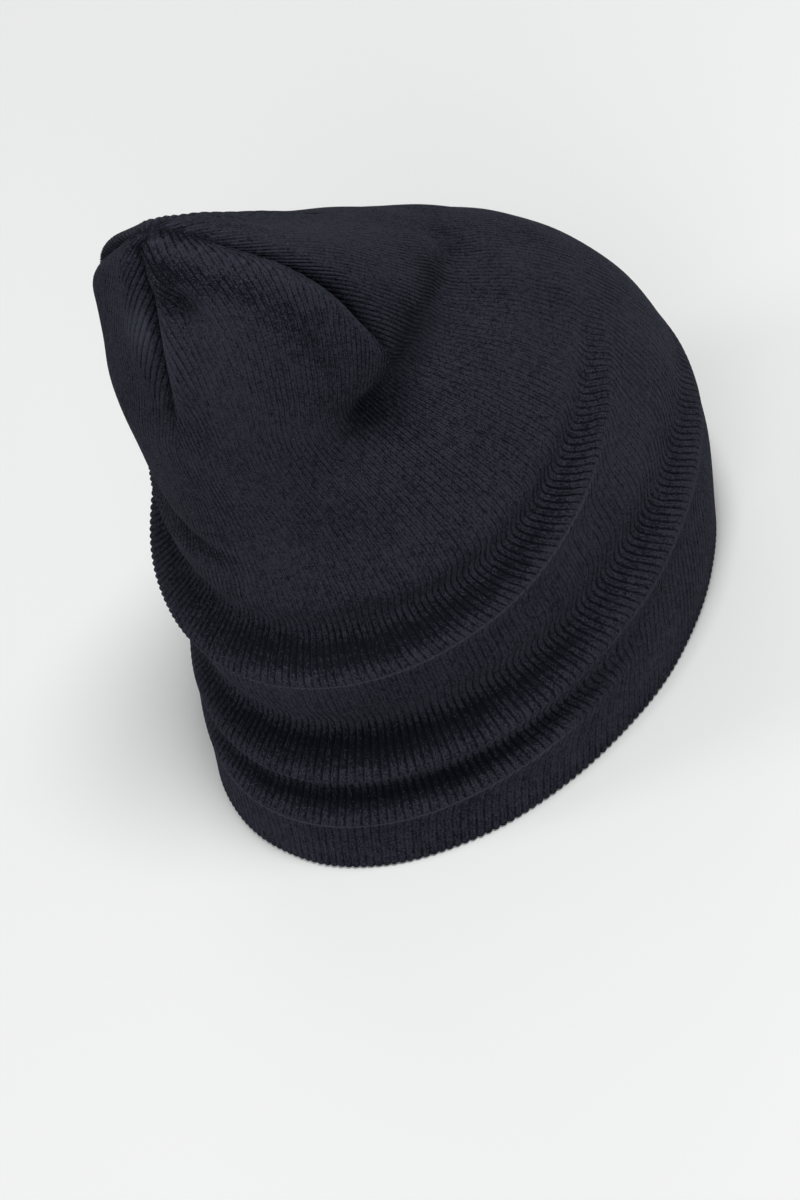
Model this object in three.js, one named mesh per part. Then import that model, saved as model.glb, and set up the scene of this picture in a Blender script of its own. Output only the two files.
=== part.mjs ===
// Ribbed knit beanie: one knitted tube, closed at the crown by four sewn darts, standing on its rim.
// Millimetres, +Z up. Forehead towards -Y, nape towards +Y, the wearer's right towards -X.
import * as THREE from 'three';

// Driving sizes
const WALL = 2.4;              // thickness of the stretched rib knit
const ROW_LENGTH = 32.4;       // length of fabric from one course row to the next

// Course rows, from the rim to the tip. Each row is one ring of stitches seen from the side:
// where it crosses the forehead line and the nape line, half its width, the sideways shift of its
// centre, and how much higher it runs over the ears than a flat ring would.
const COURSES = [
  { frontY: -101, frontUp: 0, backY: 99, backUp: 0, halfWidth: 80, shift: 0, earLift: 0 },
  { frontY: -109, frontUp: 31, backY: 91, backUp: 23, halfWidth: 83, shift: -2, earLift: 0 },
  { frontY: -110, frontUp: 58, backY: 80, backUp: 46, halfWidth: 82, shift: -3, earLift: 2 },
  { frontY: -99, frontUp: 86, backY: 76, backUp: 69, halfWidth: 80, shift: -4, earLift: 5 },
  { frontY: -83, frontUp: 109, backY: 68, backUp: 92, halfWidth: 74, shift: -5, earLift: 5 },
  { frontY: -63, frontUp: 130, backY: 62, backUp: 114, halfWidth: 67, shift: -2, earLift: 3 },
  { frontY: -40, frontUp: 151, backY: 60, backUp: 138, halfWidth: 59, shift: 1, earLift: 2 },
  { frontY: -13, frontUp: 175, backY: 57, backUp: 164, halfWidth: 50, shift: -2, earLift: 4 },
  { frontY: 9, frontUp: 197, backY: 51, backUp: 190, halfWidth: 38, shift: -1, earLift: 4 },
  { frontY: 16, frontUp: 211, backY: 50, backUp: 214, halfWidth: 21, shift: 8, earLift: 0 },
];
const LAST_ROW = COURSES.length - 1;
const ROUND_OVER_FROM = 7.5;   // course row where the crown starts to round over to the tip

// Folds where the slack length bunches up at the nape, one overhanging lip in each row: its course
// row at the nape, how many rows it climbs on its way to the forehead, its middle as an angle from
// the nape, and how many degrees it reaches from there to the right and to the left. Then how far it
// stands out, how far it droops and how far the fabric sinks in above it, and the length of fabric
// that flares out above the lip and tucks in below it.
const FOLDS = [
  {
    lip: 0.89, climb: 0, middle: 5, right: 75, left: 60,
    depth: 4, droop: 3.5, hollow: 3, flare: 5, tuck: 5.5,
  },
  {
    lip: 1.57, climb: 0.2, middle: 5, right: 150, left: 75,
    depth: 5.5, droop: 4.5, hollow: 5.5, flare: 6.5, tuck: 7.5,
  },
  {
    lip: 3.07, climb: 0.85, middle: -20, right: 150, left: 86,
    depth: 7, droop: 4.5, hollow: 6.2, flare: 7, tuck: 8.5,
  },
  {
    lip: 4.2, climb: 0.6, middle: -42, right: 34, left: 50,
    depth: 2.5, droop: 3, hollow: 2, flare: 4, tuck: 6,
  },
];
const FOLDS_END = 5.5;         // course row above which nothing climbs
const CLIMB_FROM = 45;         // degrees from the nape where the folds start to climb
const CLIMB_TO = 125;          // and where they have climbed all the way
const HOLLOW_ABOVE = 1.2;      // middle of the hollow above a lip, in flares
const HOLLOW_BELOW = 0.7;      // length of that hollow below its middle, in flares
const HOLLOW_TOP = 1.3;        // and above its middle, where the fabric rolls in slowly

// Darts: the angle of each sewn line at its foot and at the tip, and the depth of its groove
const DARTS = [
  { foot: -15, top: -20, depth: 4.5 },
  { foot: 74, top: 103, depth: 6 },
  { foot: 176, top: 190, depth: 3 },
  { foot: 268, top: 280, depth: 2 },
];
const DART_FROM = 6.5;         // course row of the darts' feet
const GROOVE_WIDTH = 2.8;      // half width of a dart's groove
const DART_LIP = 0.4;          // height of the rounded lips beside a groove, as a share of its depth
const DART_LIP_OFFSET = 6.5;
const DART_LIP_WIDTH = 5;

// Dimple beside the tip of the back dart
const DIMPLE = { angle: 4, row: 8.2, depth: 4, radius: 7.5 };

// Neck: the soft groove round the foot of the crown, deepest where the right dart ends
const NECK_WIDTH = 13;
const NECK = [
  { angle: 20, row: 5.9, depth: 0 },
  { angle: 38, row: 5.9, depth: 3 },
  { angle: 57, row: 5.95, depth: 12.5 },
  { angle: 80, row: 6, depth: 8 },
  { angle: 110, row: 5.9, depth: 6 },
  { angle: 145, row: 5.6, depth: 4 },
  { angle: 180, row: 5.3, depth: 1.5 },
  { angle: 225, row: 5, depth: 0 },
];

// Mesh steps: columns between two darts, as a share of the way, and course rows
const COLUMN_SHARES = [0, 0.032, 0.075, 0.14, 0.24, 0.37, 0.5, 0.63, 0.76, 0.86, 0.925, 0.968];
const ROW_STEPS = [
  { to: 0.09, steps: 1 },
  { to: 0.6, steps: 3 },
  { to: 3.7, steps: 30 },
  { to: 5.4, steps: 6 },
  { to: 6.3, steps: 6 },
  { to: 8.6, steps: 8 },
  { to: 8.93, steps: 3 },
];

const FULL_TURN = 2 * Math.PI;
const radians = THREE.MathUtils.degToRad;
const bell = (x) => Math.exp(-x * x);
const aroundNape = (angle) => angle - FULL_TURN * Math.round(angle / FULL_TURN);

// Value of each named column between two rows of a table, smooth through every row
function rowValues(table, place) {
  const first = Math.min(Math.max(Math.floor(place), 0), table.length - 2);
  const share = place - first;
  const values = {};
  for (const name of Object.keys(table[0])) {
    const here = table[first][name];
    const next = table[first + 1][name];
    const before = first > 0 ? table[first - 1][name] : 2 * here - next;
    const after = first + 2 < table.length ? table[first + 2][name] : 2 * next - here;
    const slope = next - before + share * (2 * before - 5 * here + 4 * next - after
      + share * (3 * (here - next) + after - before));
    values[name] = here + 0.5 * share * slope;
  }
  return values;
}

// Neck values at an angle, eased from one row to the next
function neckAt(angle) {
  const degrees = THREE.MathUtils.radToDeg(THREE.MathUtils.euclideanModulo(angle, FULL_TURN));
  const next = NECK.findIndex((row) => row.angle > degrees);
  if (next <= 0) {
    return NECK[0];
  }
  const share = THREE.MathUtils.smoothstep(degrees, NECK[next - 1].angle, NECK[next].angle);
  return {
    row: THREE.MathUtils.lerp(NECK[next - 1].row, NECK[next].row, share),
    depth: THREE.MathUtils.lerp(NECK[next - 1].depth, NECK[next].depth, share),
  };
}

// Course row under a mesh row: mesh rows follow the folds, which climb towards the forehead
function courseRow(angle, meshRow) {
  const stops = [{ lip: 0, climb: 0 }, ...FOLDS, { lip: FOLDS_END, climb: 0 }];
  const next = stops.findIndex((stop) => stop.lip > meshRow);
  if (next < 1) {
    return meshRow;
  }
  const share = THREE.MathUtils.smoothstep(meshRow, stops[next - 1].lip, stops[next].lip);
  const climb = THREE.MathUtils.lerp(stops[next - 1].climb, stops[next].climb, share);
  const degrees = THREE.MathUtils.radToDeg(Math.abs(aroundNape(angle)));
  return meshRow + climb * THREE.MathUtils.smoothstep(degrees, CLIMB_FROM, CLIMB_TO);
}

// How far the crown has rounded over: 1 below, 0 at the tip
function roundOver(row) {
  const share = THREE.MathUtils.clamp((row - ROUND_OVER_FROM) / (LAST_ROW - ROUND_OVER_FROM), 0, 1);
  return Math.sqrt(1 - share * share);
}

// Push outwards (and down) by the folds
function foldShift(angle, meshRow) {
  let outward = 0;
  let down = 0;
  for (const fold of FOLDS) {
    const turn = THREE.MathUtils.radToDeg(aroundNape(angle - radians(fold.middle)));
    const reach = turn > 0 ? fold.right : fold.left;
    const strength = Math.max(Math.cos(Math.min(Math.abs(turn) / reach, 1) * Math.PI / 2), 0) ** 1.2;
    const above = (meshRow - fold.lip) * ROW_LENGTH;
    const lip = bell(above / (above > 0 ? fold.flare : fold.tuck));
    const fromHollow = above / fold.flare - HOLLOW_ABOVE;
    const hollow = bell(fromHollow / (fromHollow > 0 ? HOLLOW_TOP : HOLLOW_BELOW));
    outward += strength * (fold.depth * lip - fold.hollow * hollow);
    down += strength * fold.droop * lip;
  }
  return { outward, down };
}

// How far along a dart a course row is: 0 at its foot, 1 at the tip
function alongDart(row) {
  return THREE.MathUtils.clamp((row - DART_FROM) / (LAST_ROW - DART_FROM), 0, 1);
}

// Angle of a dart's sewn line at a course row
function dartAngle(dart, row) {
  return radians(THREE.MathUtils.lerp(dart.foot, dart.top, alongDart(row)));
}

// Push outwards by the sewn darts: a groove on the seam and a rounded lip on both sides
function dartShift(angle, row, halfWidth) {
  const along = alongDart(row);
  const fadeAtFoot = THREE.MathUtils.smoothstep(along, 0, 0.35);
  const fadeAtTip = THREE.MathUtils.smoothstep(1 - along, 0.02, 0.2);
  let outward = 0;
  for (const dart of DARTS) {
    const across = Math.abs(aroundNape(angle - dartAngle(dart, row))) * Math.max(halfWidth, 1);
    const lip = DART_LIP * bell((across - DART_LIP_OFFSET) / DART_LIP_WIDTH);
    outward += dart.depth * (lip - Math.exp(-((across / GROOVE_WIDTH) ** 1.5)));
  }
  return outward * fadeAtFoot * fadeAtTip;
}

// Push inwards by the dimple
function dimpleShift(angle, row, halfWidth) {
  const across = aroundNape(angle - radians(DIMPLE.angle)) * halfWidth;
  const along = (row - DIMPLE.row) * ROW_LENGTH;
  return -DIMPLE.depth * bell(Math.hypot(across, along) / DIMPLE.radius);
}

// Point of the outer face. The angle runs from the nape over the right ear to the forehead.
function outerPoint(angle, meshRow) {
  const row = courseRow(angle, meshRow);
  const ring = rowValues(COURSES, row);
  const close = roundOver(row);
  const fold = foldShift(angle, meshRow);
  const neck = neckAt(angle);
  const halfWidth = ring.halfWidth * close;
  const outward = fold.outward + dartShift(angle, row, halfWidth) + dimpleShift(angle, row, halfWidth)
    - neck.depth * bell((row - neck.row) * ROW_LENGTH / NECK_WIDTH);
  const back = Math.cos(angle);
  const right = Math.sin(angle);
  const middleY = (ring.backY + ring.frontY) / 2;
  const middleUp = (ring.backUp + ring.frontUp) / 2;
  return new THREE.Vector3(
    ring.shift - (ring.halfWidth * close + outward) * right,
    middleY + ((ring.backY - ring.frontY) / 2 * close + outward) * back,
    middleUp + close * ((ring.backUp - ring.frontUp) / 2 * back + ring.earLift * right * right) - fold.down,
  );
}

// Outward direction of the face, averaged over a short stretch so that the wall turns round a lip
function outwardAt(angle, meshRow) {
  const turnStep = 0.05;
  const rowStep = 0.28;
  const around = outerPoint(angle + turnStep, meshRow).sub(outerPoint(angle - turnStep, meshRow));
  const along = outerPoint(angle, meshRow + rowStep).sub(outerPoint(angle, meshRow - rowStep));
  return around.cross(along).normalize();
}

// The same direction at the rim, kept level so that the rim stands flat
function levelOutwardAt(angle) {
  const outward = outwardAt(angle, 0);
  return outward.setZ(0).normalize();
}

// Angles of the mesh columns at a row, closer together beside the darts
function columnAngles(row) {
  const angles = [];
  DARTS.forEach((dart, index) => {
    const from = dartAngle(dart, row);
    const lastTurn = index + 1 < DARTS.length ? 0 : FULL_TURN;
    const to = dartAngle(DARTS[(index + 1) % DARTS.length], row) + lastTurn;
    for (const share of COLUMN_SHARES) {
      angles.push(THREE.MathUtils.lerp(from, to, share));
    }
  });
  return angles;
}

// Mesh rows from the rim to the tip, closer together over the folds
function meshRows() {
  const rows = [0];
  for (const { to, steps } of ROW_STEPS) {
    const from = rows[rows.length - 1];
    for (let step = 1; step <= steps; step += 1) {
      rows.push(THREE.MathUtils.lerp(from, to, step / steps));
    }
  }
  return rows;
}

// Closed wall: the outer face, the same face moved inwards, and the flat ring of the rim
function capGeometry() {
  const rows = meshRows();
  const columns = DARTS.length * COLUMN_SHARES.length;
  const positions = [];
  const triangles = [];
  for (const inside of [false, true]) {
    for (const row of rows) {
      for (const angle of columnAngles(row)) {
        const point = outerPoint(angle, row);
        if (inside) {
          const outward = row === 0 ? levelOutwardAt(angle) : outwardAt(angle, row);
          point.addScaledVector(outward, -WALL);
        }
        positions.push(point.x, point.y, point.z);
      }
    }
  }
  const pointAt = (inside, row, column) => (inside * rows.length + row) * columns + column % columns;
  const addFace = (inside, a, b, c) => triangles.push(...(inside ? [a, c, b] : [a, b, c]));
  for (const inside of [0, 1]) {
    const tip = positions.length / 3;
    const top = outerPoint(0, LAST_ROW);
    positions.push(top.x, top.y, top.z - inside * WALL);
    for (let column = 0; column < columns; column += 1) {
      for (let row = 0; row + 1 < rows.length; row += 1) {
        const low = pointAt(inside, row, column);
        const lowNext = pointAt(inside, row, column + 1);
        const high = pointAt(inside, row + 1, column);
        const highNext = pointAt(inside, row + 1, column + 1);
        addFace(inside, low, lowNext, highNext);
        addFace(inside, low, highNext, high);
      }
      const last = pointAt(inside, rows.length - 1, column);
      const lastNext = pointAt(inside, rows.length - 1, column + 1);
      addFace(inside, last, lastNext, tip);
    }
  }
  for (let column = 0; column < columns; column += 1) {
    const outer = pointAt(0, 0, column);
    const outerNext = pointAt(0, 0, column + 1);
    const inner = pointAt(1, 0, column);
    const innerNext = pointAt(1, 0, column + 1);
    triangles.push(outer, innerNext, outerNext, outer, inner, innerNext);
  }
  const geometry = new THREE.BufferGeometry();
  geometry.setAttribute('position', new THREE.Float32BufferAttribute(positions, 3));
  geometry.setIndex(triangles);
  geometry.computeVertexNormals();
  return geometry;
}

// The cap stands on its rim, centred on the origin
const knit = new THREE.MeshStandardMaterial({ color: 0x1b1d26, roughness: 0.95, metalness: 0 });
const cap = new THREE.Mesh(capGeometry(), knit);
cap.name = 'knit_cap';
const box = new THREE.Box3().setFromObject(cap, true);
cap.position.set(-(box.min.x + box.max.x) / 2, -(box.min.y + box.max.y) / 2, -box.min.z);

const beanie = new THREE.Group();
beanie.add(cap);

export default beanie;
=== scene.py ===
# Looks of the ribbed knit beanie: one closed mesh of rib knit, cut and sewn at the crown by four
# darts, standing on a pale floor. The sizes of the cap are in millimetres, and its tables' angles in
# degrees from the nape. The finished mesh, the lights and the camera are in metres.
import math
import bpy
import numpy as np
from mathutils import Matrix, Vector


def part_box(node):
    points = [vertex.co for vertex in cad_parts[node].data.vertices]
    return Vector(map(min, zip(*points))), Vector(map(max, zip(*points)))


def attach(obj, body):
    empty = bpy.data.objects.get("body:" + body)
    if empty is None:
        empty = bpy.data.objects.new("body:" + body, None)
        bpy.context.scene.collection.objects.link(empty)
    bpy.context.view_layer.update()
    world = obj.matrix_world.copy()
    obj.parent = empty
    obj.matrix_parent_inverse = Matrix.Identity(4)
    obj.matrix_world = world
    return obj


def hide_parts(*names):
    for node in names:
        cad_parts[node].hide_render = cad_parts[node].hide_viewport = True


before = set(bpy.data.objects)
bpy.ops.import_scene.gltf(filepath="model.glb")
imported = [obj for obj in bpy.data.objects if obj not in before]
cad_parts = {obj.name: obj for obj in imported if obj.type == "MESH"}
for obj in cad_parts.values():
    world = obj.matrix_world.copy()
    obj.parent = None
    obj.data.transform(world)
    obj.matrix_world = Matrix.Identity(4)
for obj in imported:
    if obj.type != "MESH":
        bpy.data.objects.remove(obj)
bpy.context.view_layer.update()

MM = 0.001
FULL_TURN = 2 * math.pi

# Fabric
WALL = 2.4                # thickness of the stretched rib knit
ROW_LENGTH = 32.4         # length of fabric from one course row to the next
RIBS_PER_PANEL = 54       # knit ribs between two darts
STITCH_LENGTH = 1.25      # one stitch along a rib
RIB_HEIGHT = 1.05         # from the bottom of a groove to the top of a rib where the knit bunches up
RIB_POWER = 0.8           # power of the sine across a rib: below 1 the grooves are narrow
RIB_PROUD = 0.35          # how far a rib's top stands proud of the plain solid

# Share of the ribs' height that shows
FLAT_RIBS = 0.34          # where the knit is stretched flat
FLAT_VARIES = 0.4         # how much that varies over the cap, by two waves multiplied
FLAT_WAVES = ((7, 2.3), (-4, 3.1))  # for each, how many go round the cap and its radians per row
INNER_RIBS = 0.35         # on the inner face
SEAM_RIBS = 0.7           # added beside a dart, where the knit is gathered into the seam
SEAM_REACH = 9            # how far to both sides of the dart
RIM_RIBS = 0.35           # added at the rim, where the knit relaxes
RIM_RIBS_TO = 0.3         # course row where that has faded out
NECK_RIBS = 0.45          # added round the neck, where the knit is drawn together
NECK_RIBS_WIDTH = 15      # and half the width of that band

# Unevenness of a worn fabric, as waves: how many go round the cap, their radians from one course
# row to the next, where they start, and their height beside the others
UNEVEN = 0.45             # how far the fabric rises and sinks in all
WAVE_COLUMNS = ("around", "per_row", "start", "height")
WAVES = (
    (5, 2.1, 0, 1),
    (9, -3.3, 1, 1),
    (17, 5.2, 2, 0.6),
)
BAND_PER_ROW = 4.7        # one more wave lies in bands round the cap: its radians per course row
BAND_BEND = 3             # how far its bands bend up and down, in radians
BANDS_BENT = 2            # and how often round the cap

# Course rows, from the rim to the tip. Each row is one ring of stitches seen from the side:
# where it crosses the forehead line and the nape line, half its width, the sideways shift of its
# centre, and how much higher it runs over the ears than a flat ring would.
COURSE_COLUMNS = ("front_y", "front_up", "back_y", "back_up", "half_width", "shift", "ear_lift")
COURSES = (
    (-101, 0, 99, 0, 80, 0, 0),
    (-109, 31, 91, 23, 83, -2, 0),
    (-110, 58, 80, 46, 82, -3, 2),
    (-99, 86, 76, 69, 80, -4, 5),
    (-83, 109, 68, 92, 74, -5, 5),
    (-63, 130, 62, 114, 67, -2, 3),
    (-40, 151, 60, 138, 59, 1, 2),
    (-13, 175, 57, 164, 50, -2, 4),
    (9, 197, 51, 190, 38, -1, 4),
    (16, 211, 50, 214, 21, 8, 0),
)
LAST_ROW = len(COURSES) - 1
NEAR_TIP = LAST_ROW - 0.05    # the last ring of points below the tip
AT_TIP = LAST_ROW - 0.001     # the tip's own point
ROUND_OVER_FROM = 7.5     # course row where the crown starts to round over to the tip
LEAST_RADIUS = 1          # the crown counts as no narrower than this near the tip

# Folds where the slack length bunches up at the nape, one overhanging lip in each row
FOLD_COLUMNS = (
    "lip", "climb", "middle", "right", "left", "depth", "droop", "hollow", "flare", "tuck",
)
FOLDS = (
    (0.89, 0, 5, 75, 60, 4, 3.5, 3, 5, 5.5),
    (1.57, 0.2, 5, 150, 75, 5.5, 4.5, 5.5, 6.5, 7.5),
    (3.07, 0.85, -20, 150, 86, 7, 4.5, 6.2, 7, 8.5),
    (4.2, 0.6, -42, 34, 50, 2.5, 3, 2, 4, 6),
)
FOLDS_END = 5.5           # course row above which nothing climbs
FOLD_POWER = 1.2          # power of a fold's fade from its middle to its ends
FOLD_CLEAR = 0.5          # strength at which a fold's bunching and painted light and shade are full
CLIMB_FROM = 45           # degrees from the nape where the folds start to climb
CLIMB_TO = 125            # and where they have climbed all the way
HOLLOW_ABOVE = 1.2        # middle of the hollow above a lip, in flares
HOLLOW_BELOW = 0.7        # length of that hollow below its middle, in flares
HOLLOW_TOP = 1.3          # and above its middle, where the fabric rolls in slowly
BUNCHED_ABOVE = 0.9       # middle of the band above a lip where the ribs bunch up, in flares
BUNCHED_LENGTH = 1.35     # half length of that band, in flares
SWAY = 0.11               # how far a fold drags the ribs along itself at the sides
SWAY_ABOVE = 4            # the middle of that stretch, in millimetres above the lip's row
SWAY_LENGTH = 9           # and half its length
SWAY_FADE_FROM = 0.7      # share of the fold's reach where the drag starts to fade

# Darts: the angle of each sewn line at its foot and at the tip, the depth of its groove, and the
# ribs that it cuts off on each side
DART_COLUMNS = ("foot", "top", "depth", "ribs_cut")
DARTS = (
    (-15, -20, 4.5, 18),
    (74, 103, 6, 36),
    (176, 190, 3, 18),
    (268, 280, 2, 36),
)
RIGHT_DART = 1            # place of the right dart in that table
DART_FROM = 6.5           # course row of the darts' feet
DART_DEEP_FROM = 0.35     # share of a dart's length where its groove reaches its depth
DART_FADE_FROM = 0.2      # share of its length before the tip where the groove starts to fade
DART_FADE_TO = 0.02       # and where it has faded out
GROOVE_WIDTH = 2.8        # half width of a dart's groove
GROOVE_POWER = 1.5        # form of its bottom, between a sharp one at 1 and a round one at 2
DART_LIP = 0.4            # height of the rounded lips beside a groove, as a share of its depth
DART_LIP_OFFSET = 6.5     # how far they lie from the sewn line
DART_LIP_WIDTH = 5        # and half their width
SEAM_FULL_FROM = 0.12     # share of a dart's length where the knit is fully gathered into it
RIBS_CUT_FROM = 6.2       # course row where the darts start to cut ribs off
RIBS_CUT_POWER = 1.15     # above 1 the ribs run out a little faster than the crown narrows
RIBS_EVEN_TO = 0.5        # course row up to which the ribs keep their even spacing of the rim

# Dimple beside the tip of the back dart
DIMPLE_ANGLE = 4
DIMPLE_ROW = 8.2
DIMPLE_DEPTH = 4
DIMPLE_RADIUS = 7.5

# Neck: the soft groove round the foot of the crown, deepest where the right dart ends
NECK_WIDTH = 13           # half its width
NECK_COLUMNS = ("angle", "row", "depth")
NECK = (
    (20, 5.9, 0),
    (38, 5.9, 3),
    (57, 5.95, 12.5),
    (80, 6, 8),
    (110, 5.9, 6),
    (145, 5.6, 4),
    (180, 5.3, 1.5),
    (225, 5, 0),
)

# Tone of the yarn, as painted light and shade: paler on lips and swells, darker in hollows and
# seams. Lengths are in millimetres, and below a fold's row means towards the rim.
DARKEST = -1.6            # the lower limit of the tone
PALEST = 1                # and the upper one
EDGE_HIGHLIGHT = 0.6           # painted highlight along the edge of a lip
EDGE_BELOW = 3            # how far it lies below the lip's row
EDGE_WIDTH = 1.2          # and half its width
ROLL_LIGHT = 0.35          # painted light on the rest of the lip's roll
ROLL_WIDTH = 4            # half its width
SHADE_TONE = 2            # the shade in the hollow above a lip
SHADE_MIDDLE = 15         # degrees from the nape where that shade is deepest
SHADE_REACH = 55          # and how far from there it fades
SHADE_ABOVE = 5.3         # how far above the lip's row it is deepest
SHADE_BELOW = 2.4         # how far it reaches down to the lip
SHADE_TOP = 2.6           # and up over the next swell of the fabric
SWELL_LIGHT = 0.6          # painted light on the swell of the fabric over that hollow
SWELL_ABOVE = 9.5         # how far it lies above the lip's row
SWELL_WIDTH = 3.5         # and half its width
BELLY_TONE = 0.35         # the soft shade between that swell and the next lip
BELLY_ABOVE = 19          # how far it lies above the lip's row
BELLY_WIDTH = 6           # and half its width
SEAM_SHADE = 1.5           # painted shade along the groove of a sewn seam
SEAM_LINE = 1.6           # half its width
SEAM_LIGHT = 0.35          # painted light on the gathered ribs beside it

# Patches of painted light and painted shade on the crown: where they lie, how far they reach,
# and how pale they are
PATCH_COLUMNS = ("angle", "row", "reach", "tone")
LIGHT_AND_SHADE_PATCHES = (
    (8, 7.5, 22, 0.4),
    (-32, 7.8, 12, 0.4),
    (140, 7.85, 18, 0.45),
    (150, 7, 12, 0.25),
    (6, 8.6, 6, -0.5),
    (47, 6.45, 7, -0.6),
    (30, 6.3, 12, 0.25),
    (62, 5.7, 12, -0.2),
)

# Beside the right dart a painted highlight runs along the panel's ridge, with a band of painted
# shade before it in the valley. Before means back towards the nape.
RIDGE_HIGHLIGHT = 0.35
RIDGE_BEFORE = 8          # how far the ridge lies from the dart
RIDGE_WIDTH = 3.5         # and half its width
VALLEY_SHADE = 0.8
VALLEY_BEFORE = 24        # how far the valley lies from the dart
VALLEY_WIDTH = 7          # and half its width
RIDGE_FROM = 0.1          # share of the dart's length where both start
RIDGE_FULL_FROM = 0.5     # and where they have their full tone

# Shade that runs from the foot of the right dart up round the neck
NECK_SHADE_WIDTH = 6.5    # half its width
NECK_SHADE_COLUMNS = ("angle", "row", "tone")
NECK_SHADE = (
    (36, 6, 0),
    (56, 6.1, 1.4),
    (76, 6.4, 1.1),
    (97, 6.55, 0.8),
    (123, 6.2, 0.7),
    (150, 5.5, 0.5),
    (175, 5.2, 0),
)

# The wall is thickened along directions averaged over a short stretch of fabric, because the
# plain ones meet and cross in the folds and darts
OUTER_TURN_STEP = 0.07    # half that stretch round the cap, in radians, for the outer face
INNER_TURN_STEP = 0.12    # and for the inner face
ROW_STEP = 0.28           # half that stretch along the ribs, in course rows

# Rim
RIM_ROUND = 1.3           # height of the rounding along the lower edge
RIM_STEPS = 4             # rows of points around that rounding
RIM_GROOVE = 0.55         # how far a groove between two ribs rises above the floor

# Mesh. Each step gives the course row that it goes up to and the length of its mesh rows.
OUTER_PER_RIB = 4         # columns of points to a rib
INNER_PER_RIB = 2
OUTER_STEPS = ((0.25, 2.4), (0.6, 3.6), (3.9, 2.3), (RIBS_CUT_FROM, 4.2), (NEAR_TIP, 3.2))
INNER_STEPS = ((0.25, 4), (0.6, 5), (3.9, 4.6), (RIBS_CUT_FROM, 8), (NEAR_TIP, 7))
SHORT_STEP = 0.2          # a column cut off closer above a row than this share of a step skips it
BOX_SAMPLES = 181         # points each way where the plain cap's box is measured
RIM_SAMPLES = 1441        # points where the rim's length is measured
CUT_SAMPLES = 200         # course rows where the ribs that are left are counted


def column(rows, columns, name):
    """One named column of a table, as an array."""
    return np.array([row[columns.index(name)] for row in rows], float)


def named_rows(rows, columns):
    """The rows of a table, with each value under its column's name."""
    return [dict(zip(columns, values)) for values in rows]


def around_nape(angle):
    """The same angle, from minus to plus half a turn from the nape."""
    return (angle + math.pi) % FULL_TURN - math.pi


def bell(x):
    """1 at 0, and fading smoothly to 0 on both sides."""
    return np.exp(-x * x)


def eased(low, high, x):
    """0 below low, 1 above high, with a soft start and end."""
    share = np.clip((x - low) / (high - low), 0, 1)
    return share * share * (3 - 2 * share)


def eased_table(places, values, x):
    """Value between the rows of a table, eased from one row to the next."""
    first = np.clip(np.searchsorted(places, x, side="right") - 1, 0, len(places) - 2)
    share = eased(places[first], places[first + 1], x)
    return values[first] + (values[first + 1] - values[first]) * share


def course_values(place):
    """Value of each course column between two rows, smooth through every row."""
    table = np.array(COURSES, float)
    first = np.clip(np.floor(place).astype(int), 0, len(table) - 2)
    share = (place - first)[..., None]
    here = table[first]
    following = table[first + 1]
    is_first = (first == 0)[..., None]
    is_last = (first == len(table) - 2)[..., None]
    before = np.where(is_first, 2 * here - following, table[np.maximum(first - 1, 0)])
    after = np.where(is_last, 2 * following - here, table[np.minimum(first + 2, len(table) - 1)])
    bend = 3 * (here - following) + after - before
    slope = following - before + share * (
        2 * before - 5 * here + 4 * following - after + share * bend
    )
    values = here + 0.5 * share * slope
    return {name: values[..., i] for i, name in enumerate(COURSE_COLUMNS)}


def course_row(angle, mesh_row):
    """Course row under a mesh row: mesh rows follow the folds, which climb to the forehead."""
    lips = np.concatenate([[0], column(FOLDS, FOLD_COLUMNS, "lip"), [FOLDS_END]])
    climbs = np.concatenate([[0], column(FOLDS, FOLD_COLUMNS, "climb"), [0]])
    share = eased(CLIMB_FROM, CLIMB_TO, np.degrees(np.abs(around_nape(angle))))
    return mesh_row + eased_table(lips, climbs, mesh_row) * share


def round_over(row):
    """How far the crown has rounded over: 1 below, 0 at the tip."""
    share = np.clip((row - ROUND_OVER_FROM) / (LAST_ROW - ROUND_OVER_FROM), 0, 1)
    return np.sqrt(1 - share * share)


def half_width_at(row):
    """Half the width of the cap at a course row."""
    return course_values(row)["half_width"] * round_over(row)


def fold_turn(fold, angle):
    """Angle from a fold's middle, and the same as a share of its reach to that side."""
    turn = around_nape(angle - math.radians(fold["middle"]))
    reach = np.where(turn > 0, fold["right"], fold["left"])
    return turn, np.abs(np.degrees(turn)) / reach


def fold_strength(fold, angle):
    """Strength of a fold, from 1 in its middle to 0 at its ends."""
    _, share = fold_turn(fold, angle)
    fade = np.cos(np.minimum(share, 1) * math.pi / 2)
    return np.maximum(fade, 0) ** FOLD_POWER


def above_lip(fold, mesh_row):
    """Length of fabric from a fold's lip up to a mesh row."""
    return (mesh_row - fold["lip"]) * ROW_LENGTH


def fold_shift(angle, mesh_row):
    """Push outwards and down by the folds."""
    outward = np.zeros_like(angle)
    down = np.zeros_like(angle)
    for fold in named_rows(FOLDS, FOLD_COLUMNS):
        strength = fold_strength(fold, angle)
        above = above_lip(fold, mesh_row)
        lip = bell(above / np.where(above > 0, fold["flare"], fold["tuck"]))
        from_hollow = above / fold["flare"] - HOLLOW_ABOVE
        hollow = bell(from_hollow / np.where(from_hollow > 0, HOLLOW_TOP, HOLLOW_BELOW))
        outward += strength * (fold["depth"] * lip - fold["hollow"] * hollow)
        down += strength * fold["droop"] * lip
    return outward, down


def bunched_knit(angle, mesh_row):
    """How bunched up the knit is above the lips of the folds, from 0 to 1."""
    bunched = np.zeros_like(angle)
    for fold in named_rows(FOLDS, FOLD_COLUMNS):
        clear = np.minimum(fold_strength(fold, angle) / FOLD_CLEAR, 1)
        from_middle = above_lip(fold, mesh_row) / fold["flare"] - BUNCHED_ABOVE
        bunched = np.maximum(bunched, clear * bell(from_middle / BUNCHED_LENGTH))
    return bunched


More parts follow.
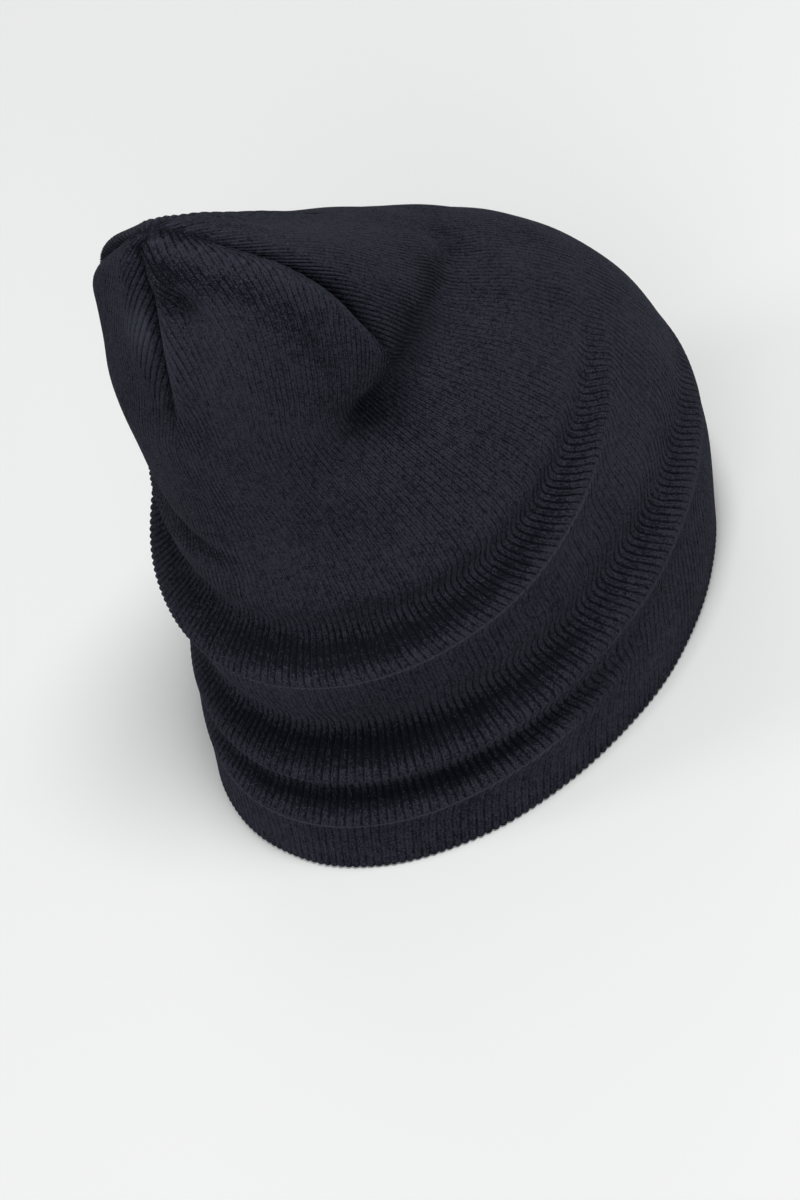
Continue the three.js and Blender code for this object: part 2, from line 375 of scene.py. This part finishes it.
def fold_tone(angle, mesh_row):
    """Painted light and shade of the folds, on their lips, swells, hollows and bellies."""
    tone = np.zeros_like(angle)
    from_middle = np.degrees(around_nape(angle)) - SHADE_MIDDLE
    shaded = bell(from_middle / SHADE_REACH)
    for fold in named_rows(FOLDS, FOLD_COLUMNS):
        clear = np.minimum(fold_strength(fold, angle) / FOLD_CLEAR, 1)
        above = above_lip(fold, mesh_row)
        edge = EDGE_HIGHLIGHT * bell((above + EDGE_BELOW) / EDGE_WIDTH)
        roll = ROLL_LIGHT * bell(above / ROLL_WIDTH)
        from_shade = above - SHADE_ABOVE
        shade = SHADE_TONE * bell(from_shade / np.where(from_shade > 0, SHADE_TOP, SHADE_BELOW))
        swell = SWELL_LIGHT * bell((above - SWELL_ABOVE) / SWELL_WIDTH)
        belly = BELLY_TONE * bell((above - BELLY_ABOVE) / BELLY_WIDTH)
        tone += clear * (edge + roll + shaded * (swell - belly - shade))
    return tone


def sway(angle, mesh_row):
    """How far the folds drag the ribs round towards the forehead on both sides, as an angle."""
    total = np.zeros_like(angle)
    for fold in named_rows(FOLDS, FOLD_COLUMNS):
        turn, share = fold_turn(fold, angle)
        place = (above_lip(fold, mesh_row) - SWAY_ABOVE) / SWAY_LENGTH
        total -= eased(1, SWAY_FADE_FROM, share) * np.sin(turn) * place * bell(place)
    return SWAY * total


def along_dart(row):
    """How far along a dart a course row is: 0 at its foot, 1 at the tip."""
    return np.clip((row - DART_FROM) / (LAST_ROW - DART_FROM), 0, 1)


def dart_angle(dart, row):
    """Angle of a dart's sewn line at a course row. Dart 4 is dart 0 after a whole turn."""
    foot = np.radians(column(DARTS + DARTS[:1], DART_COLUMNS, "foot"))
    top = np.radians(column(DARTS + DARTS[:1], DART_COLUMNS, "top"))
    whole_turn = np.where(np.asarray(dart) == len(DARTS), FULL_TURN, 0)
    return foot[dart] + (top[dart] - foot[dart]) * along_dart(row) + whole_turn


def dart_shift(angle, row, half_width):
    """Push outwards by the sewn darts: a groove on the seam and a rounded lip on both sides."""
    along = along_dart(row)
    fade = eased(0, DART_DEEP_FROM, along) * eased(DART_FADE_TO, DART_FADE_FROM, 1 - along)
    outward = np.zeros_like(angle)
    for dart, depth in enumerate(column(DARTS, DART_COLUMNS, "depth")):
        turn = np.abs(around_nape(angle - dart_angle(dart, row)))
        across = turn * np.maximum(half_width, LEAST_RADIUS)
        lip = DART_LIP * bell((across - DART_LIP_OFFSET) / DART_LIP_WIDTH)
        outward += depth * (lip - np.exp(-((across / GROOVE_WIDTH) ** GROOVE_POWER)))
    return outward * fade


def seam_band(angle, row, reach):
    """Share from 0 away from the darts to 1 on a sewn line. The reach is in millimetres."""
    half_width = np.maximum(half_width_at(row), LEAST_RADIUS)
    band = np.zeros_like(angle)
    for dart in range(len(DARTS)):
        across = around_nape(angle - dart_angle(dart, row)) * half_width
        band = np.maximum(band, bell(across / reach))
    return band * eased(0, SEAM_FULL_FROM, along_dart(row))


def dimple_shift(angle, row, half_width):
    """Push inwards by the dimple."""
    across = around_nape(angle - math.radians(DIMPLE_ANGLE)) * half_width
    along = (row - DIMPLE_ROW) * ROW_LENGTH
    return -DIMPLE_DEPTH * bell(np.hypot(across, along) / DIMPLE_RADIUS)


def neck_band(table, columns, angle, row, width):
    """Strength of a band round the neck, whose table gives its course row and strength."""
    places = column(table, columns, "angle")
    degrees = np.degrees(angle % FULL_TURN)
    rows, strengths = (column(table, columns, name) for name in columns[1:])
    band_row = eased_table(places, rows, degrees)
    strength = eased_table(places, strengths, degrees)
    return strength * bell((row - band_row) * ROW_LENGTH / width)


def neck_shift(angle, row):
    """Push inwards by the neck."""
    return -neck_band(NECK, NECK_COLUMNS, angle, row, NECK_WIDTH)


def neck_shade(angle, row, width):
    """Strength of the shade round the neck, over half a width in millimetres."""
    return neck_band(NECK_SHADE, NECK_SHADE_COLUMNS, angle, row, width)


def plain_point(angle, mesh_row):
    """Points of the plain outer face. The angle runs from the nape over the right ear."""
    angle, mesh_row = np.broadcast_arrays(np.asarray(angle, float), np.asarray(mesh_row, float))
    row = course_row(angle, mesh_row)
    ring = course_values(row)
    close = round_over(row)
    fold_out, fold_down = fold_shift(angle, mesh_row)
    half_width = ring["half_width"] * close
    outward = fold_out + dart_shift(angle, row, half_width) + dimple_shift(angle, row, half_width)
    outward += neck_shift(angle, row)
    back = np.cos(angle)
    right = np.sin(angle)
    middle_y = (ring["back_y"] + ring["front_y"]) / 2
    middle_up = (ring["back_up"] + ring["front_up"]) / 2
    half_depth = (ring["back_y"] - ring["front_y"]) / 2
    half_rise = (ring["back_up"] - ring["front_up"]) / 2
    return np.stack([
        ring["shift"] - (half_width + outward) * right,
        middle_y + (half_depth * close + outward) * back,
        middle_up + close * (half_rise * back + ring["ear_lift"] * right * right) - fold_down,
    ], axis=-1)


def outward_at(angle, mesh_row, turn_step):
    """Outward direction of the face, averaged over a short stretch of fabric."""
    around = plain_point(angle + turn_step, mesh_row) - plain_point(angle - turn_step, mesh_row)
    along = plain_point(angle, mesh_row + ROW_STEP) - plain_point(angle, mesh_row - ROW_STEP)
    outward = np.cross(around, along)
    return outward / np.linalg.norm(outward, axis=-1, keepdims=True)


def tables_origin():
    """Where the tables' own origin lies in the frame, whose origin is under the cap's middle."""
    turns = np.linspace(0, FULL_TURN, BOX_SAMPLES)
    angles, rows = np.meshgrid(turns, np.linspace(0, NEAR_TIP, BOX_SAMPLES))
    points = plain_point(angles, rows).reshape(-1, 3)
    middle = (points.min(axis=0) + points.max(axis=0)) / 2
    low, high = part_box("knit_cap")
    return Vector(((low.x + high.x) / 2 - middle[0] * MM, (low.y + high.y) / 2 - middle[1] * MM, 0))


# Ribs across the crown. A panel is the fabric between two darts. Its ribs are cut off one by one
# at the darts on both sides, so that fewer are left as the crown narrows.
def ring_size(row):
    """Middle of the cap's half width and half depth at a course row."""
    ring = course_values(row)
    half_depth = (ring["back_y"] - ring["front_y"]) / 2
    return (ring["half_width"] + half_depth) / 2 * round_over(row)


CUT_ROWS = np.linspace(RIBS_CUT_FROM, LAST_ROW, CUT_SAMPLES)
SHARES_LEFT = (ring_size(CUT_ROWS) / ring_size(CUT_ROWS[:1])) ** RIBS_CUT_POWER


def share_left(row):
    """Share of the ribs that are left at a course row."""
    return np.interp(row, CUT_ROWS, SHARES_LEFT)


def cut_row(share):
    """Course row where only this share of the ribs is left."""
    return np.interp(-share, -SHARES_LEFT, CUT_ROWS)


def rim_angles(count):
    """Angles of equally long steps along the rim, from the back dart round to itself."""
    start = dart_angle(0, 0)
    fine = start + np.linspace(0, FULL_TURN, RIM_SAMPLES)
    points = plain_point(fine, np.zeros_like(fine))
    steps = np.linalg.norm(np.diff(points, axis=0), axis=1)
    lengths = np.concatenate([[0], np.cumsum(steps)])
    return np.interp(np.arange(count) / count * lengths[-1], lengths, fine)


class RibColumns:
    """Columns of mesh points that run along the ribs, a few to each rib."""

    def __init__(self, per_rib, rows):
        self.per_rib = per_rib
        self.rows = rows
        self.per_panel = RIBS_PER_PANEL * per_rib
        self.count = self.per_panel * len(DARTS)
        self.index = np.arange(self.count)
        self.panel = self.index // self.per_panel
        self.place = self.index % self.per_panel
        self.cut_at = (column(DARTS, DART_COLUMNS, "ribs_cut") * per_rib).astype(int)
        self.cut_first = self.cut_at[self.panel]
        cut_next = self.cut_at[(self.panel + 1) % len(DARTS)]
        left_first = 1 - self.place / self.cut_first
        left_next = 1 - (self.per_panel - self.place) / cut_next
        self.cut = cut_row(np.maximum(left_first, left_next))
        self.at_rim = rim_angles(self.count)

    def angle(self, index, row):
        """Angle of a column at a mesh row below its cut."""
        left = share_left(row)
        place = (self.place[index] - self.cut_first[index] * (1 - left)) / (self.per_panel * left)
        first = dart_angle(self.panel[index], row)
        following = dart_angle(self.panel[index] + 1, row)
        crown = first + (following - first) * np.clip(place, 0, 1)
        share = eased(RIBS_EVEN_TO, RIBS_CUT_FROM, row)
        return self.at_rim[index] + (crown - self.at_rim[index]) * share


def relief(phase):
    """Height of the rib relief, 0 in a groove and 1 on a rib, with round ribs."""
    return np.abs(np.sin(math.pi * phase)) ** RIB_POWER


def unevenness(angle, row):
    """Gentle rise and fall of a worn fabric, in millimetres."""
    total = np.sin(BAND_PER_ROW * row + BAND_BEND * np.sin(BANDS_BENT * angle))
    highest = 1
    for wave in named_rows(WAVES, WAVE_COLUMNS):
        turn = wave["around"] * angle + wave["per_row"] * row + wave["start"]
        total = total + wave["height"] * np.sin(turn)
        highest += wave["height"]
    return UNEVEN * total / highest


def rib_strength(angle, row):
    """How strongly the ribs stand out: most where the knit is bunched up."""
    first, second = (np.sin(around * angle + per_row * row) for around, per_row in FLAT_WAVES)
    flat = FLAT_RIBS * (1 + FLAT_VARIES * first * second)
    flat += SEAM_RIBS * seam_band(angle, row, SEAM_REACH)
    flat += NECK_RIBS * neck_shade(angle, row, NECK_RIBS_WIDTH)
    flat = np.minimum(flat, 1)
    return flat + (1 - flat) * bunched_knit(angle, row) + RIM_RIBS * eased(RIM_RIBS_TO, 0, row)


def crown_tone(angle, row, half_width):
    """Painted light and shade of the patches, the ridge and valley before the right dart, and the
    neck.
    """
    tone = np.zeros_like(angle)
    for patch in named_rows(LIGHT_AND_SHADE_PATCHES, PATCH_COLUMNS):
        across = around_nape(angle - math.radians(patch["angle"])) * half_width
        along = (row - patch["row"]) * ROW_LENGTH
        tone += patch["tone"] * bell(np.hypot(across, along) / patch["reach"])
    before = -around_nape(angle - dart_angle(RIGHT_DART, row)) * half_width
    ridge = RIDGE_HIGHLIGHT * bell((before - RIDGE_BEFORE) / RIDGE_WIDTH)
    valley = VALLEY_SHADE * bell((before - VALLEY_BEFORE) / VALLEY_WIDTH)
    tone += (ridge - valley) * eased(RIDGE_FROM, RIDGE_FULL_FROM, along_dart(row))
    return tone - neck_shade(angle, row, NECK_SHADE_WIDTH)


def knit_tone(angle, row):
    """Below 0 where painted shade darkens a hollow or a seam, and above 0 where a painted highlight
    pales an edge.
    """
    half_width = half_width_at(row)
    tone = fold_tone(angle, row)
    # Painted light beside the seams, painted shade along them and painted shade in the dimple
    tone += SEAM_LIGHT * seam_band(angle, row, SEAM_REACH)
    tone -= SEAM_SHADE * seam_band(angle, row, SEAM_LINE)
    tone += dimple_shift(angle, row, half_width) / DIMPLE_DEPTH
    tone += crown_tone(angle, row, half_width)
    return np.clip(tone, DARKEST, PALEST)


# Mesh of the cap
def mesh_rows(steps):
    """Rows from the rim to the tip. Each step says how far it goes and how long its rows are."""
    rows = [RIM_ROUND / ROW_LENGTH]
    for to, length in steps:
        count = max(1, round((to - rows[-1]) * ROW_LENGTH / length))
        rows += list(np.linspace(rows[-1], to, count + 1)[1:])
    return np.array(rows)


class KnitMesh:
    """Points, faces and the values that the material reads, while the mesh is put together."""

    def __init__(self):
        self.points = []
        self.stitch = []
        self.groove = []
        self.tone = []
        self.faces = []
        self.count = 0

    def add_points(self, points, stitch, groove, tone):
        """Adds points and returns the number of the first one."""
        first = self.count
        self.points.append(points)
        self.stitch.append(stitch)
        self.groove.append(groove)
        self.tone.append(tone)
        self.count += len(points)
        return first

    def add_faces(self, faces, flipped=False):
        """Adds the faces whose corners are all different."""
        for face in faces:
            if len(set(face)) == len(face):
                self.faces.append(face[::-1] if flipped else face)

    def make(self, name):
        """The finished object, with its stitches as texture places, its grooves' painted shade and
        its tone.
        """
        mesh = bpy.data.meshes.new(name)
        mesh.from_pydata((np.concatenate(self.points) * MM).tolist(), [], self.faces)
        mesh.update()
        corners = np.zeros(len(mesh.loops), int)
        mesh.loops.foreach_get("vertex_index", corners)
        starts = np.zeros(len(mesh.polygons), int)
        mesh.polygons.foreach_get("loop_start", starts)
        stitch = np.concatenate(self.stitch)[corners]
        sizes = np.diff(np.append(starts, len(corners)))
        nearby = np.repeat(stitch[starts, 0], sizes)
        stitch[:, 0] += np.round(nearby - stitch[:, 0])
        uv = mesh.uv_layers.new(name="stitches")
        uv.data.foreach_set("uv", stitch.astype(np.float32).ravel())
        for label, values in (("groove", self.groove), ("tone", self.tone)):
            layer = mesh.attributes.new(label, "FLOAT", "POINT")
            layer.data.foreach_set("value", np.concatenate(values).astype(np.float32))
        mesh.polygons.foreach_set("use_smooth", np.ones(len(mesh.polygons), bool))
        piece = bpy.data.objects.new(name, mesh)
        bpy.context.scene.collection.objects.link(piece)
        return piece


def knit_points(phase, angle, row, inside):
    """Points on one face of the knit, ribs included, with the values that the material reads."""
    height = relief(phase)
    angle = angle + sway(angle, row)
    strength = rib_strength(angle, row)
    lift = unevenness(angle, row) + RIB_PROUD
    if inside:
        lift = lift - WALL + RIB_HEIGHT * INNER_RIBS * (1 - height)
    else:
        lift = lift - RIB_HEIGHT * strength * (1 - height)
    outward = outward_at(angle, row, INNER_TURN_STEP if inside else OUTER_TURN_STEP)
    points = plain_point(angle, row) + outward * lift[..., None]
    stitch = np.stack([phase, row * ROW_LENGTH / STITCH_LENGTH], axis=-1)
    # The groove value is painted shade between the ribs, and the tone is painted light and shade.
    return points, stitch, (1 - height) * strength, knit_tone(angle, row)


def add_face_points(knit, columns, inside):
    """Points of one face. Returns each column's point numbers, from the rim up to its end."""
    chains = [[] for _ in columns.index]
    row_before = columns.rows[0]
    for row in columns.rows:
        short_step = SHORT_STEP * (row - row_before) if row > RIBS_CUT_FROM else 0
        live = columns.index[(columns.cut > row + short_step) | (row <= RIBS_CUT_FROM)]
        rows = np.full(len(live), row)
        points = knit_points(live / columns.per_rib, columns.angle(live, rows), rows, inside)
        first = knit.add_points(*points)
        for place, index in enumerate(live):
            chains[index].append(first + place)
        row_before = row
    tip_point = plain_point(np.zeros(1), np.array([AT_TIP]))
    tip_point[:, 2] -= WALL if inside else 0
    tip = knit.add_points(tip_point, np.zeros((1, 2)), np.zeros(1), np.zeros(1))
    ends = np.full(columns.count, tip)
    for dart in range(len(DARTS)):
        start = dart * columns.per_panel
        steps = np.arange(1, columns.cut_at[dart])
        rows = cut_row(1 - steps / columns.cut_at[dart])
        points = knit_points(steps / columns.per_rib, dart_angle(dart, rows), rows, inside)
        first = knit.add_points(*points)
        for side in (1, -1):
            ends[(start + side * steps) % columns.count] = first + steps - 1
        ends[start] = chains[start].pop()
    for chain, end in zip(chains, ends):
        chain.append(end)
    return chains


def face_between(here, there):
    """Faces between two neighbouring columns, which may end at different rows."""
    faces = []
    last = min(len(here), len(there)) - 2
    for k in range(last):
        faces.append((here[k], there[k], there[k + 1], here[k + 1]))
    if len(here) >= len(there):
        for low, high in zip(here[last:], here[last + 1:]):
            faces.append((low, there[last + 1], high))
        faces.append((here[last], there[last], there[last + 1]))
    else:
        for low, high in zip(there[last:], there[last + 1:]):
            faces.append((low, high, here[last + 1]))
        faces.append((here[last], there[last], here[last + 1]))
    return faces


def add_face(knit, columns, inside):
    """One face of the cap, from the rim to the tip. Returns its first row's point numbers."""
    chains = add_face_points(knit, columns, inside)
    for here, there in zip(chains, chains[1:] + chains[:1]):
        knit.add_faces(face_between(here, there), inside)
    return [chain[0] for chain in chains]


def add_rim(knit, outer, outer_columns, inner, inner_columns):
    """Rounded lower edge from the outer face to the inner one, scalloped by the ribs."""
    index = outer_columns.index
    phase = index / outer_columns.per_rib
    rows = np.full(len(index), outer_columns.rows[0])
    angle = outer_columns.angle(index, rows)
    outside, stitch, groove, tone = knit_points(phase, angle, rows, False)
    inside, _, _, _ = knit_points(phase, angle, rows, True)
    rise = RIM_GROOVE * (1 - relief(phase))
    before = outer
    for step in range(1, RIM_STEPS + 1):
        turn = math.pi * step / (RIM_STEPS + 1)
        points = (outside + inside) / 2 + (outside - inside) / 2 * math.cos(turn)
        points[:, 2] -= math.sin(turn) * (points[:, 2] - rise)
        first = knit.add_points(points, stitch, groove, tone)
        here = [first + place for place in index]
        for a, b, c, d in zip(before, before[1:] + before[:1], here[1:] + here[:1], here):
            knit.add_faces([(a, d, c, b)])
        before = here
    # The inner face has fewer columns, so each of its points takes a fan of the edge's points
    step = outer_columns.per_rib // inner_columns.per_rib
    middle = step // 2
    for place, near in enumerate(inner):
        following = inner[(place + 1) % len(inner)]
        edge = [before[(place * step + k) % len(before)] for k in range(step + 1)]
        for k in range(step):
            knit.add_faces([(edge[k + 1], edge[k], near if k < middle else following)])
        knit.add_faces([(edge[middle], near, following)])


def make_cap(origin):
    """The whole cap, standing on the floor."""
    knit = KnitMesh()
    outer_columns = RibColumns(OUTER_PER_RIB, mesh_rows(OUTER_STEPS))
    inner_columns = RibColumns(INNER_PER_RIB, mesh_rows(INNER_STEPS))
    outer = add_face(knit, outer_columns, False)
    inner = add_face(knit, inner_columns, True)
    add_rim(knit, outer, outer_columns, inner, inner_columns)
    cap = knit.make("rib_knit_cap")
    lowest = min(vertex.co.z for vertex in cap.data.vertices)
    cap.data.transform(Matrix.Translation(origin - Vector((0, 0, lowest))))
    return cap


# Materials
YARN_DARK = (0.0055, 0.006, 0.0095, 1)
YARN_MIDDLE = (0.0345, 0.0365, 0.051, 1)
YARN_FLECK_AND_HIGHLIGHT = (0.09, 0.095, 0.125, 1)

# Share of the middle colour over the dark one. Noise is given by its waves to a metre and how
# much it adds.
YARN_FLAT = 0.4           # on plain knit
YARN_GROOVE = -0.8        # painted shade added in a groove between two ribs
YARN_STRAND = 0.5         # painted light added on top of a strand, leaving painted shade in the dips
YARN_TONE = 0.55          # added for each 1 of tone, the painted light and shade
YARN_NOISE = ((3000, 4), (1100, 1.8), (420, 1), (55, 0.5))
NOISE_DETAIL = 2
NOISE_MIDDLE = 0.5        # noise runs from 0 to 1 about this

# Light flecks of fibre, and painted highlights where the tone is high
FLECK_WAVES = 1500
FLECK_DETAIL = 4
FLECK_FROM = 0.66         # noise above which a fleck shows
FLECK_GAIN = 7            # how fast it grows light above that
FLECK_MOST = 0.6          # and the lightest it gets
HIGHLIGHT_FROM = 0.45          # tone above which a painted highlight lightens the yarn
HIGHLIGHT_GAIN = 1.3           # and how fast it grows light above that

# Strands of a stitch, across in ribs and along in stitches
WANDER = 0.5              # range over which the strands wander about their places
WANDER_WAVES = 260
LEG_POWER = 0.7           # roundness of the two legs of a stitch: below 1 the gap is narrow
STRAND_SLANT = 1.7        # slant of a strand, in stitches up for one rib's width across
STRAND_DEPTH = 0.45       # depth of the dip between two strands
FUZZ = 0.35               # height of the fuzz, where a strand's is 1
FUZZ_WAVES = 3600
BUMP_STRENGTH = 0.7
BUMP_HEIGHT = 0.45 * MM


def new_material(name):
    """A material and its shader."""
    material = bpy.data.materials.new(name)
    material.use_nodes = True
    return material, material.node_tree.nodes["Principled BSDF"]


class Nodes:
    """Short ways to add nodes to a material."""

    def __init__(self, material):
        self.tree = material.node_tree

    def put(self, socket, value):
        """Sets a socket to a value, or links it to another node's socket."""
        if hasattr(value, "is_linked"):
            self.tree.links.new(value, socket)
        else:
            socket.default_value = value

    def math(self, operation, *values):
        node = self.tree.nodes.new("ShaderNodeMath")
        node.operation = operation
        for socket, value in zip(node.inputs, values):
            self.put(socket, value)
        return node.outputs[0]

    def clamped(self, value, most):
        """The value, from 0 up to a limit."""
        return self.math("MAXIMUM", self.math("MINIMUM", value, most), 0)

    def excess(self, value, limit, gain):
        """How far a value passes a limit, times a gain."""
        return self.math("MULTIPLY", self.math("SUBTRACT", value, limit), gain)

    def noise(self, waves, detail=NOISE_DETAIL):
        """Noise from 0 to 1 through the body of the knit, by its waves to a metre."""
        node = self.tree.nodes.new("ShaderNodeTexNoise")
        self.put(node.inputs["Vector"], self.place)
        node.inputs["Scale"].default_value = waves
        node.inputs["Detail"].default_value = detail
        return node.outputs["Fac"]

    def value(self, name):
        """A value that the mesh carries in each of its points."""
        node = self.tree.nodes.new("ShaderNodeAttribute")
        node.attribute_name = name
        return node.outputs["Fac"]

    @property
    def place(self):
        return self.tree.nodes.new("ShaderNodeTexCoord").outputs["Object"]

    def blend(self, share, low, high):
        """Colour between two colours."""
        node = self.tree.nodes.new("ShaderNodeMix")
        node.data_type = "RGBA"
        colours = [socket for socket in node.inputs if socket.type == "RGBA"]
        self.put(node.inputs["Factor"], share)
        self.put(colours[0], low)
        self.put(colours[1], high)
        return [socket for socket in node.outputs if socket.type == "RGBA"][0]


def stitch_height(nodes):
    """Relief of the yarn: each rib is two rows of slanting strands with a thin gap between."""
    uv = nodes.tree.nodes.new("ShaderNodeUVMap")
    uv.uv_map = "stitches"
    split = nodes.tree.nodes.new("ShaderNodeSeparateXYZ")
    nodes.put(split.inputs[0], uv.outputs[0])
    wander = nodes.excess(nodes.noise(WANDER_WAVES), NOISE_MIDDLE, WANDER)
    across = nodes.math("ADD", split.outputs[0], wander)
    legs = nodes.math("ABSOLUTE", nodes.math("SINE", nodes.math("MULTIPLY", across, FULL_TURN)))
    legs = nodes.math("POWER", legs, LEG_POWER)
    from_middle = nodes.math("ABSOLUTE", nodes.math("SUBTRACT", nodes.math("FRACT", across), 0.5))
    rise = nodes.math("MULTIPLY", from_middle, STRAND_SLANT)
    along = nodes.math("ADD", nodes.math("ADD", split.outputs[1], rise), wander)
    strands = nodes.math("ABSOLUTE", nodes.math("SINE", nodes.math("MULTIPLY", along, math.pi)))
    strands = nodes.math("MULTIPLY_ADD", strands, STRAND_DEPTH, 1 - STRAND_DEPTH)
    return nodes.math("MULTIPLY", legs, strands)


def yarn_colour(nodes, height):
    """Navy yarn, with painted shade in grooves and hollows, pale flecks, and painted highlights."""
    share = nodes.math("MULTIPLY_ADD", nodes.value("groove"), YARN_GROOVE, YARN_FLAT)
    share = nodes.math("MULTIPLY_ADD", height, YARN_STRAND, share)
    share = nodes.math("MULTIPLY_ADD", nodes.value("tone"), YARN_TONE, share)
    for waves, amount in YARN_NOISE:
        noise = nodes.math("SUBTRACT", nodes.noise(waves), NOISE_MIDDLE)
        share = nodes.math("MULTIPLY_ADD", noise, amount, share)
    colour = nodes.blend(nodes.clamped(share, 1), YARN_DARK, YARN_MIDDLE)
    flecks = nodes.excess(nodes.noise(FLECK_WAVES, FLECK_DETAIL), FLECK_FROM, FLECK_GAIN)
    # Painted highlights where the tone is high, joined with the pale flecks of fibre
    highlight = nodes.excess(nodes.value("tone"), HIGHLIGHT_FROM, HIGHLIGHT_GAIN)
    light = nodes.math("MAXIMUM", nodes.clamped(flecks, FLECK_MOST), highlight)
    return nodes.blend(light, colour, YARN_FLECK_AND_HIGHLIGHT)


def knit_material():
    """Soft, matt yarn in stitches, with fuzz."""
    material, shader = new_material("navy_rib_knit")
    nodes = Nodes(material)
    height = stitch_height(nodes)
    nodes.put(shader.inputs["Base Color"], yarn_colour(nodes, height))
    bump = nodes.tree.nodes.new("ShaderNodeBump")
    bump.inputs["Strength"].default_value = BUMP_STRENGTH
    bump.inputs["Distance"].default_value = BUMP_HEIGHT
    fuzzy_height = nodes.math("MULTIPLY_ADD", nodes.noise(FUZZ_WAVES), FUZZ, height)
    nodes.put(bump.inputs["Height"], fuzzy_height)
    nodes.put(shader.inputs["Normal"], bump.outputs["Normal"])
    shader.inputs["Roughness"].default_value = 0.92
    shader.inputs["Specular IOR Level"].default_value = 0.04
    shader.inputs["Sheen Weight"].default_value = 0.04
    shader.inputs["Sheen Roughness"].default_value = 0.4
    shader.inputs["Sheen Tint"].default_value = (0.62, 0.66, 0.85, 1)
    return material


def floor_material():
    material, shader = new_material("pale_floor")
    shader.inputs["Base Color"].default_value = (0.9, 0.905, 0.9, 1)
    shader.inputs["Roughness"].default_value = 0.9
    shader.inputs["Specular IOR Level"].default_value = 0.1
    return material


# Room and light, in metres and watts
FLOOR_SIZE = 8
SKY_COLOUR = (0.98, 0.99, 1, 1)
SKY_STRENGTH = 0.2
LIGHTS_AIM = Vector((0, 0, 0.1))
LIGHT_COLUMNS = ("name", "place", "size", "power")
LIGHTS = (
    ("key", (-0.6, -0.15, 2.1), 0.9, 29),
    ("side", (-1, 1.6, 1.3), 1.2, 11.5),
    ("fill", (1.2, -1.6, 0.9), 1.2, 5),
    ("edge", (1.5, 0.9, 0.9), 0.8, 6.5),
)


def make_floor():
    half = FLOOR_SIZE / 2
    mesh = bpy.data.meshes.new("floor")
    corners = [(-half, -half, 0), (half, -half, 0), (half, half, 0), (-half, half, 0)]
    mesh.from_pydata(corners, [], [(0, 1, 2, 3)])
    floor = bpy.data.objects.new("floor", mesh)
    bpy.context.scene.collection.objects.link(floor)
    mesh.materials.append(floor_material())


def make_sky():
    world = bpy.data.worlds.new("studio")
    bpy.context.scene.world = world
    world.use_nodes = True
    sky = world.node_tree.nodes["Background"]
    sky.inputs["Color"].default_value = SKY_COLOUR
    sky.inputs["Strength"].default_value = SKY_STRENGTH


def make_lights():
    """Round area lights that all face the middle of the cap."""
    for row in named_rows(LIGHTS, LIGHT_COLUMNS):
        data = bpy.data.lights.new(row["name"], "AREA")
        data.shape = "DISK"
        data.size = row["size"]
        data.energy = row["power"]
        light = bpy.data.objects.new(row["name"], data)
        bpy.context.scene.collection.objects.link(light)
        light.location = row["place"]
        beam = LIGHTS_AIM - Vector(row["place"])
        light.rotation_euler = beam.to_track_quat("-Z", "Y").to_euler()


# The photograph's view: degrees above the horizon, degrees round from the nape to the right ear,
# and the camera's roll, with the image centre and scale as real sizes at the rim
CAMERA_UP = math.radians(40)
CAMERA_ROUND = math.radians(45)
CAMERA_ROLL = math.radians(27)
CAMERA_DISTANCE = 2.5
VIEW_WIDTH = 248.4 * MM   # width of the picture at the cap
VIEW_LEFT = 20.5 * MM     # how far its centre lies left of the tables' origin
VIEW_UP = 11.2 * MM       # above it
VIEW_DEPTH = 60 * MM      # and nearer to the camera
SENSOR_WIDTH = 36         # in millimetres, as the focal length is
NEAREST = 0.1
FARTHEST = 20


def make_camera(origin):
    data = bpy.data.cameras.new("camera")
    camera = bpy.data.objects.new("camera", data)
    bpy.context.scene.collection.objects.link(camera)
    bpy.context.scene.camera = camera
    level = Vector((-math.sin(CAMERA_ROUND), -math.cos(CAMERA_ROUND), 0))
    back = Vector((
        -math.cos(CAMERA_UP) * math.cos(CAMERA_ROUND),
        math.cos(CAMERA_UP) * math.sin(CAMERA_ROUND),
        math.sin(CAMERA_UP),
    ))
    upright = back.cross(level)
    right = level * math.cos(CAMERA_ROLL) - upright * math.sin(CAMERA_ROLL)
    up = level * math.sin(CAMERA_ROLL) + upright * math.cos(CAMERA_ROLL)
    target = origin - right * VIEW_LEFT + up * VIEW_UP + back * VIEW_DEPTH
    axes = Matrix((right, up, back)).transposed().to_4x4()
    camera.matrix_world = Matrix.Translation(target + back * CAMERA_DISTANCE) @ axes
    data.sensor_fit = "HORIZONTAL"
    data.sensor_width = SENSOR_WIDTH
    data.lens = SENSOR_WIDTH * CAMERA_DISTANCE / VIEW_WIDTH
    data.clip_start = NEAREST
    data.clip_end = FARTHEST


origin = tables_origin()
make_camera(origin)
make_sky()
make_lights()
make_floor()
cap = make_cap(origin)
cap.data.materials.append(knit_material())
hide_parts("knit_cap")
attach(cap, "root")

view = bpy.context.scene.view_settings
view.view_transform = "Standard"
view.look = "None"
